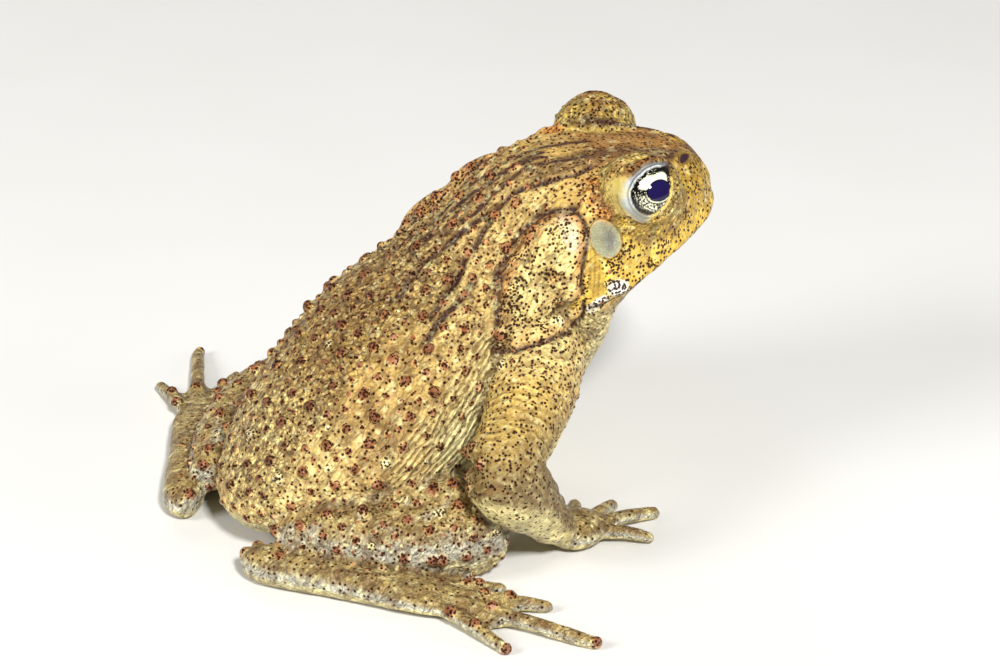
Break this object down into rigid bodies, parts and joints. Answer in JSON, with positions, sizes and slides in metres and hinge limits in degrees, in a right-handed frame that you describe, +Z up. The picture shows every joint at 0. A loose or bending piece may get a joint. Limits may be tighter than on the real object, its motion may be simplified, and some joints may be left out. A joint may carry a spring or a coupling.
{
  "type": "cane toad",
  "caption": "Life-size still model of a cane toad sitting up on straight arms with its hind legs folded and its head turned a little to its right.",
  "frame": {"origin": "on the floor under the middle of the whole toad's box", "axes": "+X the way the toad faces, +Y its left side, +Z up"},
  "size_m": [0.1092, 0.141, 0.0716],
  "materials": {
    "skin": "satin, dry and warty",
    "eye": "glossy, wet",
    "eardrum": "smooth, taut skin"
  },
  "bodies": {
    "root": {"head": "skin", "torso": "skin", "eye_left": "eye", "eye_right": "eye", "eardrum_left": "eardrum", "eardrum_right": "eardrum", "upper_arm_left": "skin", "upper_arm_right": "skin", "forearm_left": "skin", "forearm_right": "skin", "hand_left": "skin", "hand_right": "skin", "thigh_left": "skin", "thigh_right": "skin", "shank_left": "skin", "shank_right": "skin", "foot_left": "skin", "foot_right": "skin"}
  },
  "joints": []
}
